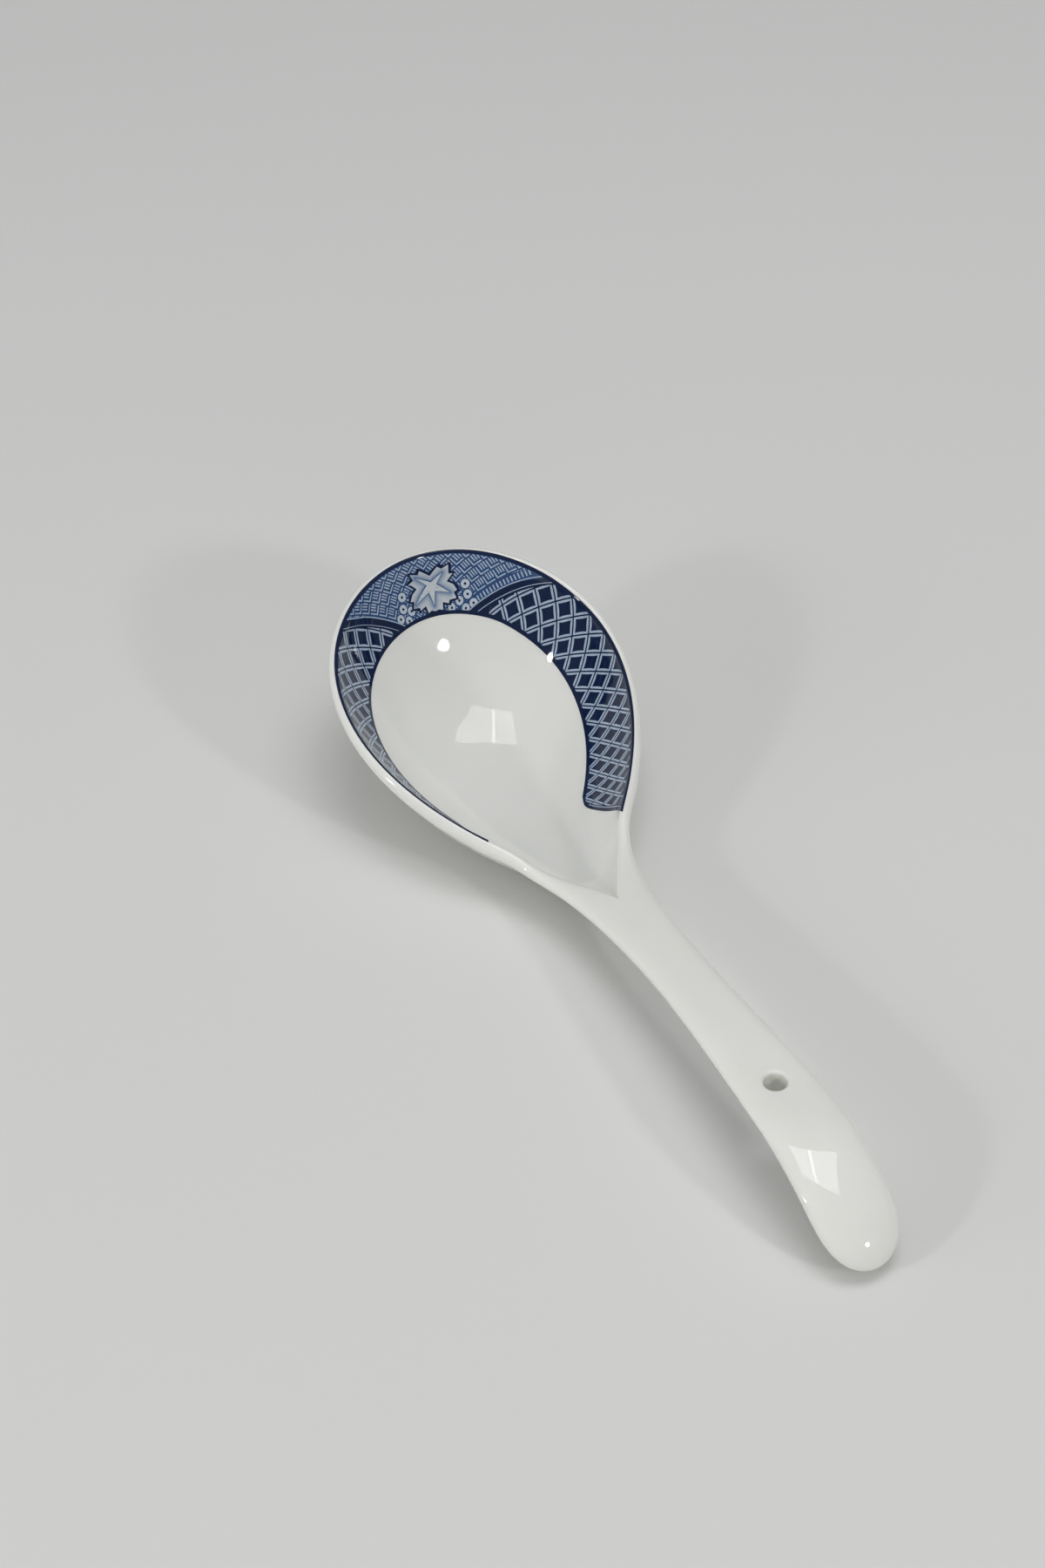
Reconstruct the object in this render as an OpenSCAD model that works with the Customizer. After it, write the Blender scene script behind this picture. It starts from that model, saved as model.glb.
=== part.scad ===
// Chinese soup spoon in glazed bone china: an egg-shaped bowl, an arched handle with a hanging hole,
// and a blue printed border inside the rim. It stands on its foot and the end of its handle.
// The origin is the middle of the foot, +X runs along the handle and +Z is up. Millimetres.

/* [Bowl] */
// Width of the bowl across the crest of its rim
bowl_w = 66; // [58:1:74]
// Length of the egg that the rim's crest follows
egg_l = 88; // [84:1:94]
// Distance from the middle of the foot to the far end of the rim's crest
far_reach = 59; // [56:1:62]
// Distance from the middle of the foot to the point where the hollow ends
hollow_reach = 38.9; // [37:0.1:41]
// Height of the rim's crest at the far end
far_h = 40.8; // [38:0.1:44]
// Fall of the rim from the far end towards the neck, in degrees
rim_tilt = 19.2; // [17:0.1:20]
// Thickness of the rim
rim_w = 2.6; // [2.2:0.1:3]
// Rise of the rounded rim over its two edges
rim_rise = 2; // [1.4:0.1:2.4]
// Thickness of the china over the foot
floor_t = 2.9; // [2.2:0.1:3.6]
// How far the hollow's lowest point lies towards the far end from the middle of the foot
hollow_back = 2; // [0:0.5:5]
// Depth of the rounded underside that the flat foot takes off
foot_sink = 0.6; // [0.4:0.1:0.9]
// Length of the flat foot
foot_l = 20; // [14:1:24]
// Width of the flat foot
foot_w = 10; // [7:1:12]

/* [Neck] */
// Width of the hollow where it narrows to its point
throat_w = 18.8; // [16:0.1:21]
// Length of the narrowing end of the hollow
throat_l = 17.9; // [16:0.1:20]
// Length over which the egg runs into the narrowing end
throat_blend = 14; // [11:0.5:17]
// Solid china between the hollow's point and the start of the handle
neck_wall = 3.1; // [2:0.1:6]
// How far the neck stands out beside the handle at the bowl
neck_flare = 9.1; // [8:0.1:10]
// Distance before the narrowing end where the neck's flare is measured
flare_lead = 5; // [4:0.5:6]
// Length over which the neck draws in to the handle
neck_fade = 14; // [12:0.5:16]
// Softness of the bend where the rim runs into the handle
edge_soft = 1.2; // [0.8:0.1:1.8]

/* [Handle] */
// Width of the handle where it is slimmest
grip_w = 12.8; // [11:0.1:15]
// Width of the handle near its end
end_w = 18.3; // [16:0.1:21]
// Length over which the handle grows wider
widen_l = 69; // [60:1:75]
// Distance from the handle's end to its full width
widen_back = 16.8; // [14:0.1:20]
// Length of the rounded end of the handle
end_round_l = 20.9; // [18:0.1:24]
// Distance from the middle of the foot to the end of the handle
end_reach = 143.8; // [138:0.1:152]
// Distance from the middle of the foot to the top of the arch
arch_reach = 109.7; // [104:0.1:114]
// Height of the handle's edge at the top of the arch
arch_h = 18.15; // [17:0.05:20]
// Fall of the handle's edge from the top of the arch to the neck
arch_fall = 4.3; // [3.6:0.1:5]
// Height of the middle of the rounded end
end_h = 1.1; // [0.8:0.05:2.5]
// Depth of the handle under its edge at the neck
neck_depth = 5.5; // [4.5:0.1:6.5]
// Depth of the handle under its edge at the end
end_depth = 7.8; // [7:0.1:8.5]
// Rise of the handle's top over its edge
crown = 1.2; // [0.8:0.1:1.6]

/* [Hanging hole] */
// Diameter of the hole through the handle
hole_d = 5.2; // [4:0.1:6.5]
// Distance from the middle of the foot to the hole
hole_reach = 104.6; // [98:0.1:112]

/* [Print] */
// Thickness of the fired-on print
print_t = 0.12; // [0.08:0.01:0.2]
// Depth of the printed border below the rim at the far end
print_far_drop = 10.9; // [9:0.1:12]
// Depth of the printed border below the rim along the sides
print_side_drop = 13.6; // [11:0.1:15]
// Depth taken up by the dark line along the inside of the border
inner_line_drop = 0.9; // [0.6:0.1:1.4]

/* [Smoothness] */
// Steps along each side of the bowl
side_n = 48; // [48:2:56]
// Steps across the handle
cross_n = 16; // [12:4:20]
// Steps along the handle
along_n = 40; // [30:2:50]

/* [Hidden] */

// Powers and shares that shape the curves
egg_power = 1.354;
egg_fall_power = 0.975;
egg_grow_share = 2.57;
throat_power = 1.1;
hollow_far_power = 3.44;
hollow_near_power = 2.4;
hollow_cross_power = 2.5;
under_far_power = 3.3;
under_bowl_power = 2.3;
under_neck_power = 1.9;
under_handle_power = 2.2;
under_round_power = 0.75;
top_power = 4;
focus_share = 2;
end_drop_power = 2.37;
end_round_power = 4.37;

// Lengths that set out the surface's grid and the drill
grid_back = 12;
point_l = 0.6;
section_turn = 20;
drill_over = 4;

// Stations along the spoon, from the middle of the foot
throat_x = hollow_reach - throat_l;
blend_x = throat_x - throat_blend;
flare_x = throat_x - flare_lead;
neck_x = hollow_reach + neck_wall;
far_in_x = rim_w / 2 - far_reach;
far_out_x = -rim_w / 2 - far_reach;
round_x = end_reach - end_round_l;
widen_to_x = end_reach - widen_back;
widen_from_x = widen_to_x - widen_l;

// Share of the way from a to b, eased at both ends
function squared(t) = t * t;
function clip(t) = min(max(t, 0), 1);
function eased(t) = t * t * (3 - 2 * t);
function ease(a, b, x) = eased(clip((x - a) / (b - a)));
function mix(a, b, t) = a * (1 - t) + b * t;

// Half width of the egg that is larger than the rim's crest by grow all round
function egg_shape(s) = sqrt(s) * pow(1 - pow(s, egg_power), egg_fall_power);
egg_top_share = pow(0.5 / (0.5 + egg_power * egg_fall_power), 1 / egg_power);
function egg(x, grow) =
    (bowl_w / 2 + grow) / egg_shape(egg_top_share)
    * egg_shape(clip((x + far_reach + grow) / (egg_l + egg_grow_share * grow)));

// Half width of the hollow, which ends in a narrow point at the neck
function throat(x) = throat_w / 2 * pow(max(hollow_reach - x, 0) / throat_l, throat_power);
function hollow_w(x) = mix(egg(x, -rim_w / 2), throat(x), ease(blend_x, throat_x, x));

// Half width of the whole spoon, drawn in at the neck and rounded at the end of the handle
function end_share(x) = sqrt(1 - pow(clip((x - round_x) / end_round_l), end_round_power));
function bar_w(x) =
    (grip_w / 2 + neck_flare * exp((flare_x - x) / neck_fade)
    + (end_w - grip_w) / 2 * ease(widen_from_x, widen_to_x, x)) * end_share(x);
function outer_w(x) = mix(egg(x, rim_w / 2), bar_w(x), ease(blend_x, throat_x, x));

// Height of the spoon's edge: the tilted rim runs into the arch of the handle
function arch_z(x) =
    arch_h - arch_fall * squared(max(arch_reach - x, 0) / (arch_reach - neck_x))
    - (arch_h - end_h) * pow(max(x - arch_reach, 0) / (end_reach - arch_reach), end_drop_power);
function rim_z(x) = far_h - rim_rise - (x + far_reach) * tan(rim_tilt);
function edge_z(x) =
    let (a = rim_z(x), b = arch_z(x)) (a + b) / 2 + sqrt(squared(a - b) / 4 + squared(edge_soft));

// Share of the way from the bowl's rounded rim to the handle's broad top
function neck_share(x) = ease(flare_x, hollow_reach, x);
function rise(x) = mix(rim_rise, crown, ease(blend_x, hollow_reach, x));
function bar_rise(v) = sqrt(1 - pow(clip(v), top_power));
function rim_rise_share(s, x) = mix(sqrt(1 - squared(2 * s - 1)), bar_rise(s), neck_share(x));

// Hollow of the bowl
function hollow_edge_z(x) = edge_z(x) + rise(x) * neck_share(x);
function hollow_keel_z(x) =
    floor_t
    + (hollow_edge_z(far_in_x) - floor_t)
        * pow(max(-hollow_back - x, 0) / (-hollow_back - far_in_x), hollow_far_power)
    + (hollow_edge_z(hollow_reach) - floor_t)
        * pow(max(x + hollow_back, 0) / (hollow_reach + hollow_back), hollow_near_power);
function hollow_share(x, y) = hollow_w(x) > 0 ? clip(abs(y) / hollow_w(x)) : 1;
function hollow_z(x, y) =
    mix(hollow_keel_z(x), hollow_edge_z(x), pow(hollow_share(x, y), hollow_cross_power));

// Underside of the bowl, neck and handle, given by the share v of the half width
function handle_depth(x) = mix(neck_depth, end_depth, ease(neck_x, arch_reach, x)) * end_share(x);
function keel_z(x) =
    x < 0
    ? (edge_z(far_out_x) + foot_sink) * pow(x / far_out_x, under_far_power) - foot_sink
    : mix(-foot_sink, edge_z(x) - handle_depth(x), ease(0, neck_x, x));
function under_power(x) =
    mix(mix(under_bowl_power, under_neck_power, ease(blend_x - throat_l, throat_x, x)),
        under_handle_power, ease(throat_x, neck_x + throat_l, x));
function under_share(x, v) =
    pow(1 - pow(clip(v), under_power(x)), mix(1, under_round_power, ease(throat_x, neck_x, x)));
function under_z(x, v) = edge_z(x) - (edge_z(x) - keel_z(x)) * under_share(x, v);

// Rings and sectors of the bowl: sector 0 is the far end, sector half_n is the hollow's point
cut_n = cross_n / 2;
half_n = side_n + cut_n;
around_n = 2 * half_n;
function step_of(j) = let (m = (j + around_n) % around_n) m > half_n ? around_n - m : m;
function side_of(j) = let (m = (j + around_n) % around_n) m > half_n ? -1 : 1;
function cut_share(m) = max(m - side_n, 0) / cut_n;
function along_share(m) = (1 - cos(180 * min(m, side_n) / side_n)) / 2;

function hollow_rim(j) =
    let (m = step_of(j),
        x = mix(far_in_x, hollow_reach - point_l, along_share(m)) + point_l * cut_share(m))
    [x, side_of(j) * hollow_w(x)];
function outer_rim(j) =
    let (m = step_of(j), x = mix(far_out_x, neck_x, along_share(m)))
    [x, side_of(j) * outer_w(x) * sin(90 * (1 - cut_share(m)))];

// Sectors run from a middle point of the hollow out to its edge
hollow_mid = [-grid_back, 0];
function hollow_point(j, share) =
    let (p = mix(hollow_mid, hollow_rim(j), share)) [p[0], p[1], hollow_z(p[0], p[1])];

// Depth of a point square to the plane of the rim, and the share of a sector where that depth is reached
function sunk(p) = (rim_z(p[0]) + rim_rise - p[2]) * cos(rim_tilt);
halvings = 24;
function sunk_share(j, drop, a = 0, b = 1, n = halvings) =
    let (m = (a + b) / 2)
    n == 0 ? m
    : sunk(hollow_point(j, m)) > drop ? sunk_share(j, drop, m, b, n - 1)
    : sunk_share(j, drop, a, m, n - 1);
function border_drop(j) = mix(print_far_drop, print_side_drop, ease(-far_reach, 0, hollow_rim(j)[0]));
function border_share(j) = sunk_share(j, border_drop(j));
function field_share(j) = sunk_share(j, border_drop(j) - inner_line_drop);

// Top rings run from the hollow's middle to the outer edge
centre_shares = [0.22, 0.42, 0.6, 0.76, 0.89, 1];
border_shares = [0.25, 0.5, 0.75, 1];
rim_shares = [0.2, 0.5, 0.72, 0.9, 1];
line_ring = len(centre_shares);
field_ring = line_ring + len(border_shares);
crest_ring = field_ring + 2;
top_n = field_ring + len(rim_shares);

function rim_point(j, s) =
    let (p = mix(hollow_rim(j), outer_rim(j), s), x = p[0],
        lift = step_of(j) > side_n ? bar_rise(abs(p[1]) / outer_w(x)) : rim_rise_share(s, x))
    [x, p[1], edge_z(x) + rise(x) * lift];
function top_point(k, j) =
    k < line_ring ? hollow_point(j, centre_shares[k] * border_share(j))
    : k == line_ring ? hollow_point(j, field_share(j))
    : k <= field_ring ? hollow_point(j, mix(field_share(j), 1, border_shares[k - line_ring - 1]))
    : rim_point(j, rim_shares[k - field_ring - 1]);

// Under rings run from the outer edge to the foot
under_shares = [0.05, 0.12, 0.2, 0.3, 0.41, 0.53, 0.65, 0.77, 0.89, 1];
under_n = len(under_shares);
function foot_point(j) =
    let (p = outer_rim(j), a = atan2(p[1] / bowl_w, p[0] / egg_l))
    [foot_l / 2 * cos(a), foot_w / 2 * sin(a)];
function under_point(k, j) =
    let (p = mix(outer_rim(j), foot_point(j), under_shares[k]), x = p[0])
    [x, p[1], k == under_n - 1 ? 0 : max(under_z(x, abs(p[1]) / outer_w(x)), 0)];
function cut_point(j) =
    let (p = outer_rim(j)) [p[0], p[1], under_z(p[0], abs(p[1]) / outer_w(p[0]))];

// Two triangles for a cell whose four corners run counter-clockwise as seen from outside
function cell(a, b, c, d) = [[a, c, b], [a, d, c]];

// Bowl and neck as one closed surface, cut square where the handle starts
module bowl() {
    rings = [for (k = [0:top_n]) [for (j = [0:around_n - 1]) top_point(k, j)]];
    under = [for (k = [0:under_n - 1]) [for (j = [0:around_n - 1]) under_point(k, j)]];
    first_cut = side_n + 1;
    last_cut = around_n - side_n - 1;
    cuts = [for (j = [first_cut:last_cut]) cut_point(j)];
    middle = [hollow_mid[0], 0, hollow_z(hollow_mid[0], 0)];
    points = concat([middle], [for (r = rings) each r], cuts, [for (r = under) each r]);
    ring_at = 1;
    cut_at = ring_at + (top_n + 1) * around_n;
    under_at = cut_at + len(cuts);
    function top(k, j) = ring_at + k * around_n + (j % around_n);
    function edge(j) =
        let (m = j % around_n) m >= first_cut && m <= last_cut ? cut_at + m - first_cut : top(top_n, m);
    function low(k, j) = k < 0 ? edge(j) : under_at + k * around_n + (j % around_n);
    faces = concat(
        [for (j = [0:around_n - 1]) [0, top(0, j), top(0, j + 1)]],
        [for (k = [0:top_n - 1], j = [0:around_n - 1])
            each cell(top(k, j), top(k, j + 1), top(k + 1, j + 1), top(k + 1, j))],
        [for (k = [-1:under_n - 2], j = [0:around_n - 1])
            each cell(low(k, j), low(k, j + 1), low(k + 1, j + 1), low(k + 1, j))],
        [concat([for (j = [last_cut + 1:-1:side_n]) top(top_n, j)],
            [for (j = [first_cut:last_cut]) edge(j)])],
        [[for (j = [around_n - 1:-1:0]) low(under_n - 1, j)]]);
    color("ivory") polyhedron(points, faces);
}

// Cross sections of the handle stand square to its arch, and upright where they meet the neck
function arch_slope(x) =
    atan2(arch_z(x + edge_soft) - arch_z(x - edge_soft), 2 * edge_soft)
    * ease(neck_x, neck_x + section_turn, x);
function section_point(x, v, out) =
    let (a = arch_slope(x)) [x - out * sin(a), v * outer_w(x), edge_z(x) + out * cos(a)];
function across_share(i) = sin(90 * (2 * i / cross_n - 1));
function top_side(x, i) =
    section_point(x, across_share(i), rise(x) * end_share(x) * bar_rise(abs(across_share(i))));
function low_side(x, i) =
    section_point(x, across_share(i), -handle_depth(x) * under_share(x, abs(across_share(i))));
tip_n = 10;
function handle_station(i) =
    i < along_n - tip_n
    ? mix(neck_x, round_x, i / (along_n - tip_n))
    : mix(round_x, end_reach, sin(90 * (i - along_n + tip_n) / tip_n));

module handle_bar() {
    loop_n = 2 * cross_n;
    function loop_point(x, i) = i <= cross_n ? top_side(x, i) : low_side(x, loop_n - i);
    points = concat(
        [for (k = [0:along_n - 1], i = [0:loop_n - 1]) loop_point(handle_station(k), i)],
        [[end_reach, 0, edge_z(end_reach)]]);
    function at(k, i) = k * loop_n + i % loop_n;
    faces = concat(
        [[for (i = [loop_n - 1:-1:0]) at(0, i)]],
        [for (k = [0:along_n - 2], i = [0:loop_n - 1])
            each cell(at(k, i), at(k + 1, i), at(k + 1, i + 1), at(k, i + 1))],
        [for (i = [0:loop_n - 1]) [at(along_n - 1, i), at(along_n - 1, i + 1), along_n * loop_n]]);
    polyhedron(points, faces);
}

// Handle with the hanging hole drilled square to its top
module handle() {
    hole_l = handle_depth(hole_reach) + crown + 2 * drill_over;
    color("ivory")
    difference() {
        handle_bar();
        translate([hole_reach, 0, edge_z(hole_reach) + crown + drill_over - hole_l])
            cylinder(h = hole_l, d = hole_d, $fn = 48);
    }
}

// Print: a thin layer over whole cells of the bowl's inner face, thickened towards a point over the bowl
print_focus = [-grid_back, 0, focus_share * far_h];
function lifted(p) = p + print_t * (print_focus - p) / norm(print_focus - p);

// Layer over rings k0 to k1 and sectors j0 to j1, leaving out the cells of a gap [k0, k1, j0, j1]
module print_layer(k0, k1, j0, j1, gap = [0, 0, 0, 0]) {
    wide = j1 - j0 + 1;
    base = [for (k = [k0:k1], j = [j0:j1]) top_point(k, j)];
    points = concat(base, [for (p = base) lifted(p)]);
    function low(k, j) = (k - k0) * wide + j - j0;
    function high(k, j) = low(k, j) + len(base);
    function inked(k, j) =
        k >= k0 && k < k1 && j >= j0 && j < j1
        && !(k >= gap[0] && k < gap[1] && j >= gap[2] && j < gap[3]);
    cells = [for (k = [k0:k1 - 1], j = [j0:j1 - 1]) if (inked(k, j)) [k, j]];
    function wall(k, j, m, n) = cell(low(k, j), low(m, n), high(m, n), high(k, j));
    faces = [for (c = cells) let (k = c[0], j = c[1]) each concat(
        cell(high(k, j), high(k, j + 1), high(k + 1, j + 1), high(k + 1, j)),
        [[low(k, j), low(k, j + 1), low(k + 1, j + 1)], [low(k, j), low(k + 1, j + 1), low(k + 1, j)]],
        inked(k - 1, j) ? [] : wall(k, j, k, j + 1),
        inked(k + 1, j) ? [] : wall(k + 1, j + 1, k + 1, j),
        inked(k, j - 1) ? [] : wall(k + 1, j, k, j),
        inked(k, j + 1) ? [] : wall(k, j + 1, k + 1, j + 1))];
    polyhedron(points, faces);
}

// Sectors where the fields of the border start and end, counted from the far end, left side negative
left_end_share = 0.642;
right_end_share = 0.675;
fret_left_share = 0.17;
fret_right_share = 0.19;
flower_left_share = 0.02;
flower_right_share = 0.063;
left_end = -round(left_end_share * side_n);
right_end = round(right_end_share * side_n);
fret_left = -round(fret_left_share * side_n);
fret_right = round(fret_right_share * side_n);
flower_from = -round(flower_left_share * side_n);
flower_to = round(flower_right_share * side_n);
line_start = line_ring - 1;

module rim_line() {
    color("midnightblue") print_layer(crest_ring - 1, crest_ring, left_end, right_end);
}

module inner_line() {
    color("midnightblue") print_layer(line_start, line_ring, left_end, right_end);
}

module left_trellis() {
    color("navy") print_layer(line_ring, crest_ring - 1, left_end, fret_left - 1);
}

module right_trellis() {
    color("navy") print_layer(line_ring, crest_ring - 1, fret_right + 1, right_end);
}

module left_divider() {
    color("midnightblue") print_layer(line_ring, crest_ring - 1, fret_left - 1, fret_left);
}

module right_divider() {
    color("midnightblue") print_layer(line_ring, crest_ring - 1, fret_right, fret_right + 1);
}

module fret_panel() {
    color("steelblue")
        print_layer(line_ring, crest_ring - 1, fret_left, fret_right,
            [line_ring, field_ring, flower_from, flower_to]);
}

module flower() {
    color("lightsteelblue") print_layer(line_ring, field_ring, flower_from, flower_to);
}

bowl();
handle();
rim_line();
inner_line();
left_trellis();
right_trellis();
fret_panel();
flower();
left_divider();
right_divider();
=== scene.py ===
import math

import bmesh
import bpy
import numpy as np
from mathutils import Matrix, Vector
from mathutils.bvhtree import BVHTree


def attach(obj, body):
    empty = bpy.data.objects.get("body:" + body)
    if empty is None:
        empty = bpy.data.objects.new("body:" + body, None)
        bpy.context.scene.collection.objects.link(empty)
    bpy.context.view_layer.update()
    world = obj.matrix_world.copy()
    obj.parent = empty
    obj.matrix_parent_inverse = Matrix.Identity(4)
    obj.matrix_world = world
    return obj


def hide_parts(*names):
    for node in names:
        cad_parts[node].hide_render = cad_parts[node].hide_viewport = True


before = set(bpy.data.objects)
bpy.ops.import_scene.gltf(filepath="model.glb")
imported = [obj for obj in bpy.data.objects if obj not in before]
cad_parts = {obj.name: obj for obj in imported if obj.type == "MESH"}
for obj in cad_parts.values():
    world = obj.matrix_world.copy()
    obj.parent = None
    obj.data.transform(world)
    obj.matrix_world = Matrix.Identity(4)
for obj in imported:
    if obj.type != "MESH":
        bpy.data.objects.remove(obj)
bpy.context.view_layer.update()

bl_info = {
    "name": "Soup Spoon",
    "version": (1, 0, 0),
    "blender": (4, 5, 0),
    "location": "3D View > Sidebar > Spoon",
    "description": "Builds a glazed china soup spoon with a blue printed border",
    "category": "Add Mesh",
}

MM = 0.001

# Fineness of the china's mesh: steps along each side of the bowl, across half the neck, along the handle and its
# tip, over the rim, down the underside, and over each part of the hole's edge
SIDE_STEPS = 150
CUT_STEPS = 26
HANDLE_STEPS = 110
TIP_STEPS = 30
LIP_STEPS = 20
UNDER_STEPS = 45
HOLE_STEPS = 8

# The handle's patch that is made anew round the hole: half its length in millimetres, half its width in columns
HOLE_PATCH = 6.2
HOLE_COLUMNS = 12

# Coats of ink, in millimetres: thickness, height of the lowest over the china, and of each over the one below
COAT = 0.016
COAT_BASE = 0.002
COAT_STEP = 0.011
# The angle from which a coat's edge stays sharp, and a place over the bowl that every coat faces
COAT_EDGE = math.radians(40)
BOWL_OPENING = np.array([-14.0, 0.0, 60.0])

# Points nearer than this, in millimetres, are one
SAME_PLACE = 0.002
TINY = 1e-9


def length(name, description, mm):
    """A length in the sidebar, given in millimetres."""
    return bpy.props.FloatProperty(
        name=name, description=description, default=mm * MM, unit="LENGTH", precision=5
    )


def tint(name, description, colour):
    """A colour in the sidebar."""
    return bpy.props.FloatVectorProperty(
        name=name, description=description, default=colour, subtype="COLOR", size=3, min=0.0, max=1.0
    )


class SpoonSizes(bpy.types.PropertyGroup):
    """Sizes of the china, as in the part's own source apart from the handle's end, dome and hole"""

    bowl_width: length("Bowl width", "Width of the bowl over the crest of its rim", 66.0)
    egg_length: length("Egg length", "Length of the egg that the rim follows", 88.0)
    far_reach: length("Far reach", "From the middle of the foot to the far end of the rim", 59.0)
    hollow_reach: length("Hollow reach", "From the middle of the foot to the point of the hollow", 38.9)
    far_height: length("Far height", "Height of the far end of the rim", 40.8)
    rim_width: length("Rim width", "Width of the rounded rim", 2.6)
    rim_rise: length("Rim rise", "Height of the rim's rounding", 2.0)
    floor_thickness: length("Floor thickness", "Thickness of the bowl over the foot", 2.9)
    hollow_back: length("Hollow back", "How far the hollow's lowest point lies behind the foot's middle", 2.0)
    foot_sink: length("Foot sink", "How much of the rounded underside the flat foot takes off", 0.6)
    foot_length: length("Foot length", "Length of the flat foot", 20.0)
    foot_width: length("Foot width", "Width of the flat foot", 10.0)
    throat_width: length("Throat width", "Width of the hollow where it starts to narrow to a point", 18.8)
    throat_length: length("Throat length", "Length of the hollow's narrow point", 17.9)
    throat_blend: length("Throat blend", "Length over which the egg runs into the throat", 14.0)
    neck_wall: length("Neck wall", "From the hollow's point to the start of the handle", 3.1)
    neck_flare: length("Neck flare", "How far the neck widens towards the bowl", 9.1)
    flare_lead: length("Flare lead", "How far before the throat the neck starts to widen", 5.0)
    neck_fade: length("Neck fade", "Length over which the widening dies out", 14.0)
    edge_soft: length("Edge softness", "Rounding where the rim runs into the handle", 1.2)
    grip_width: length("Grip width", "Narrowest width of the handle", 12.8)
    end_width: length("End width", "Widest width near the handle's end", 18.3)
    widen_length: length("Widening length", "Length over which the handle widens", 69.0)
    widen_back: length("Widening back", "From the handle's end to its widest place", 16.8)
    end_round: length("End rounding", "Length of the handle's rounded end", 20.9)
    end_reach: length("End reach", "From the middle of the foot to the handle's end", 145.1)
    arch_reach: length("Arch reach", "From the middle of the foot to the top of the handle's arch", 109.7)
    arch_height: length("Arch height", "Height of the handle's edge at the top of its arch", 18.15)
    arch_fall: length("Arch fall", "How far the handle drops from its arch to the neck", 4.3)
    end_height: length("End height", "Height of the handle's tip", 3.4)
    neck_depth: length("Neck depth", "Depth of the handle below its edge, at the neck", 5.5)
    end_depth: length("End depth", "Depth of the handle below its edge, at the arch", 7.8)
    crown: length("Crown", "How far the handle's top is domed", 1.3)
    end_crown: length("End crown", "How far the handle's top is domed at its end", 2.8)
    hole_width: length("Hole width", "Width of the hanging hole", 4.9)
    hole_reach: length("Hole reach", "From the middle of the foot to the hanging hole", 104.6)
    hole_round: length("Hole rounding", "Rounding of the hole's edges under the glaze", 0.75)
    rim_tilt: bpy.props.FloatProperty(
        name="Rim tilt", description="Slope of the rim's plane", default=math.radians(19.2), unit="ROTATION"
    )


class SpoonColours(bpy.types.PropertyGroup):
    """Colours of the china, the inks and the floor"""

    china: tint("China", "Glazed white china", (0.860, 0.860, 0.822))
    navy: tint("Navy ink", "Darkest blue, of the lines and the trellis ground", (0.0042, 0.0118, 0.0420))
    blue: tint("Blue ink", "Middle blue, of the fret's ground", (0.034, 0.088, 0.225))
    pale: tint("Pale ink", "Pale blue, of the trellis and fret lines", (0.460, 0.565, 0.715))
    ring: tint("Ring white", "Pale bluish white of the rings", (0.540, 0.610, 0.690))
    wash: tint("Blue wash", "Blue shading round the star", (0.085, 0.180, 0.350))
    petal: tint("Petal white", "Nearly white, of the flower", (0.610, 0.650, 0.680))
    floor: tint("Floor", "Pale studio floor", (0.765, 0.769, 0.751))


def clip(t):
    return np.clip(t, 0.0, 1.0)


def ease(a, b, x):
    """Share of the way from a to b, eased at both ends."""
    t = clip((x - a) / (b - a))
    return t * t * (3.0 - 2.0 * t)


def mix(a, b, t):
    return a * (1.0 - t) + b * t


def through(points):
    """A smooth curve through a few (place, value) pairs, held flat beyond both ends."""
    xs = np.array([p[0] for p in points], float)
    ys = np.array([p[1] for p in points], float)
    slopes = np.gradient(ys, xs)

    def curve(x):
        x = np.clip(np.asarray(x, float), xs[0], xs[-1])
        k = np.clip(np.searchsorted(xs, x, side="right") - 1, 0, len(xs) - 2)
        h = xs[k + 1] - xs[k]
        t = (x - xs[k]) / h
        return (
            (1 + 2 * t) * (1 - t) ** 2 * ys[k] + t * (1 - t) ** 2 * h * slopes[k]
            + t * t * (3 - 2 * t) * ys[k + 1] + t * t * (t - 1) * h * slopes[k + 1]
        )

    return curve


def run_along(line):
    """How far along a line of points each of them lies."""
    return np.r_[0, np.cumsum(np.linalg.norm(np.diff(line, axis=0), axis=1))]


def shares(middle, first, second):
    """Shares from 0 to 1, at one spacing up to a middle one and at another beyond it."""
    return np.r_[np.linspace(0, middle, first), np.linspace(middle, 1, second)[1:]]


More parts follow.
